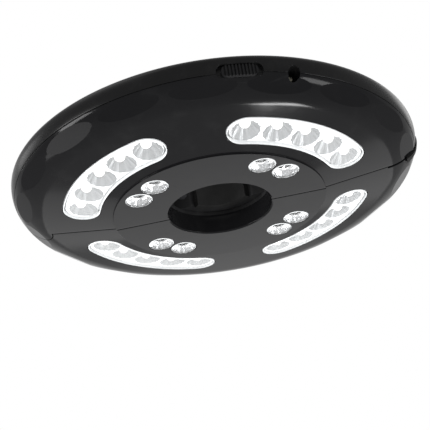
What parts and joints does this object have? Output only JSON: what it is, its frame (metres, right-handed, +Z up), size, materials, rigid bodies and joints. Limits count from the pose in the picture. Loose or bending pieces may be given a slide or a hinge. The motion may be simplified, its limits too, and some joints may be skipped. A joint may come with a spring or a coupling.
{
  "type": "patio umbrella light",
  "caption": "Flat round clip-on lamp for an umbrella pole: two hinged half discs with sprung jaws, arc windows with reflector cups and small round lenses on the underside.",
  "frame": {"origin": "on the pole axis, half way up the jaw pads, at the centre of the pole clamp", "axes": "+Z up the pole (the lamp shines towards -Z), +X along the seam towards its open end, -Y towards the half with the switch and the inlet"},
  "size_m": [0.2007, 0.2, 0.0345],
  "materials": {
    "lower_shell": "satin, moulded",
    "upper_shell": "satin, moulded",
    "clear_plastic": "clear, polished",
    "bright_white": "bright reflective coat",
    "emitter": "diffuse dome",
    "board_white": "white solder mask",
    "board_green": "green solder mask",
    "chip_black": "moulded",
    "inner_plastic": "matt, moulded",
    "pad_rubber": "matt",
    "steel": "bright",
    "spring_steel": "drawn wire",
    "cell_sleeve": "printed sleeve without text",
    "contact_metal": "nickel-plated",
    "wire_red": "insulated lead",
    "switch_metal": "pressed can",
    "black_plastic": "satin, moulded"
  },
  "bodies": {
    "front_half": {"front_bottom_shell": "lower_shell", "front_top_cover": "upper_shell", "front_arc_lenses": "clear_plastic", "front_reflectors": "bright_white", "front_spot_lenses": "clear_plastic", "front_spot_cups": "bright_white", "front_leds": "emitter", "front_led_board": "board_white", "front_jaw_cradle": "inner_plastic", "front_jaw_rods": "steel", "front_jaw_springs": "spring_steel", "front_cell_tray": "inner_plastic", "front_cells": "cell_sleeve", "front_contacts": "contact_metal", "front_screws": "steel", "front_wires": "wire_red", "hinge_pin": "steel", "hinge_spring": "spring_steel", "slide_switch": "switch_metal", "dc_jack": "black_plastic", "dc_jack_pin": "contact_metal", "driver_board": "board_green", "driver_parts": "chip_black"},
    "rear_half": {"rear_bottom_shell": "lower_shell", "rear_top_cover": "upper_shell", "rear_arc_lenses": "clear_plastic", "rear_reflectors": "bright_white", "rear_spot_lenses": "clear_plastic", "rear_spot_cups": "bright_white", "rear_leds": "emitter", "rear_led_board": "board_white", "rear_jaw_cradle": "inner_plastic", "rear_jaw_rods": "steel", "rear_jaw_springs": "spring_steel", "rear_cell_tray": "inner_plastic", "rear_cells": "cell_sleeve", "rear_contacts": "contact_metal", "rear_screws": "steel", "rear_wires": "wire_red", "closing_buffer": "pad_rubber"},
    "front_grip": {"front_jaw": "inner_plastic", "front_jaw_pad": "pad_rubber"},
    "rear_grip": {"rear_jaw": "inner_plastic", "rear_jaw_pad": "pad_rubber"},
    "switch_slider": {"switch_knob": "black_plastic"},
    "front_door": {"front_cell_door": "upper_shell"},
    "rear_door": {"rear_cell_door": "upper_shell"}
  },
  "joints": [
    {"name": "halves_hinge", "type": "hinge", "parent": "front_half", "child": "rear_half", "pos_m": [-0.094, 0, 0], "axis": [0, 0, 1], "range_deg": [0, 34], "stiffness_Nm_per_rad": 0.3, "springref_deg": -34.38, "deforming": ["hinge_spring"]},
    {"name": "front_grip_slide", "type": "slide", "parent": "front_half", "child": "front_grip", "axis": [0, 1, 0], "range_m": [-0.004, 0.008], "stiffness_N_per_m": 500, "springref_m": 0.012, "deforming": ["front_jaw_springs"]},
    {"name": "rear_grip_slide", "type": "slide", "parent": "rear_half", "child": "rear_grip", "axis": [0, -1, 0], "range_m": [-0.004, 0.008], "stiffness_N_per_m": 500, "springref_m": 0.012, "deforming": ["rear_jaw_springs"]},
    {"name": "switch_slide", "type": "slide", "parent": "front_half", "child": "switch_slider", "axis": [0.9659, 0.2588, 0], "range_m": [-0.002, 0.002]},
    {"name": "front_door_hinge", "type": "hinge", "parent": "front_half", "child": "front_door", "pos_m": [0, -0.0411, 0.01169], "axis": [-1, 0, 0], "range_deg": [0, 95]},
    {"name": "rear_door_hinge", "type": "hinge", "parent": "rear_half", "child": "rear_door", "pos_m": [0, 0.0411, 0.01169], "axis": [1, 0, 0], "range_deg": [0, 95]}
  ]
}
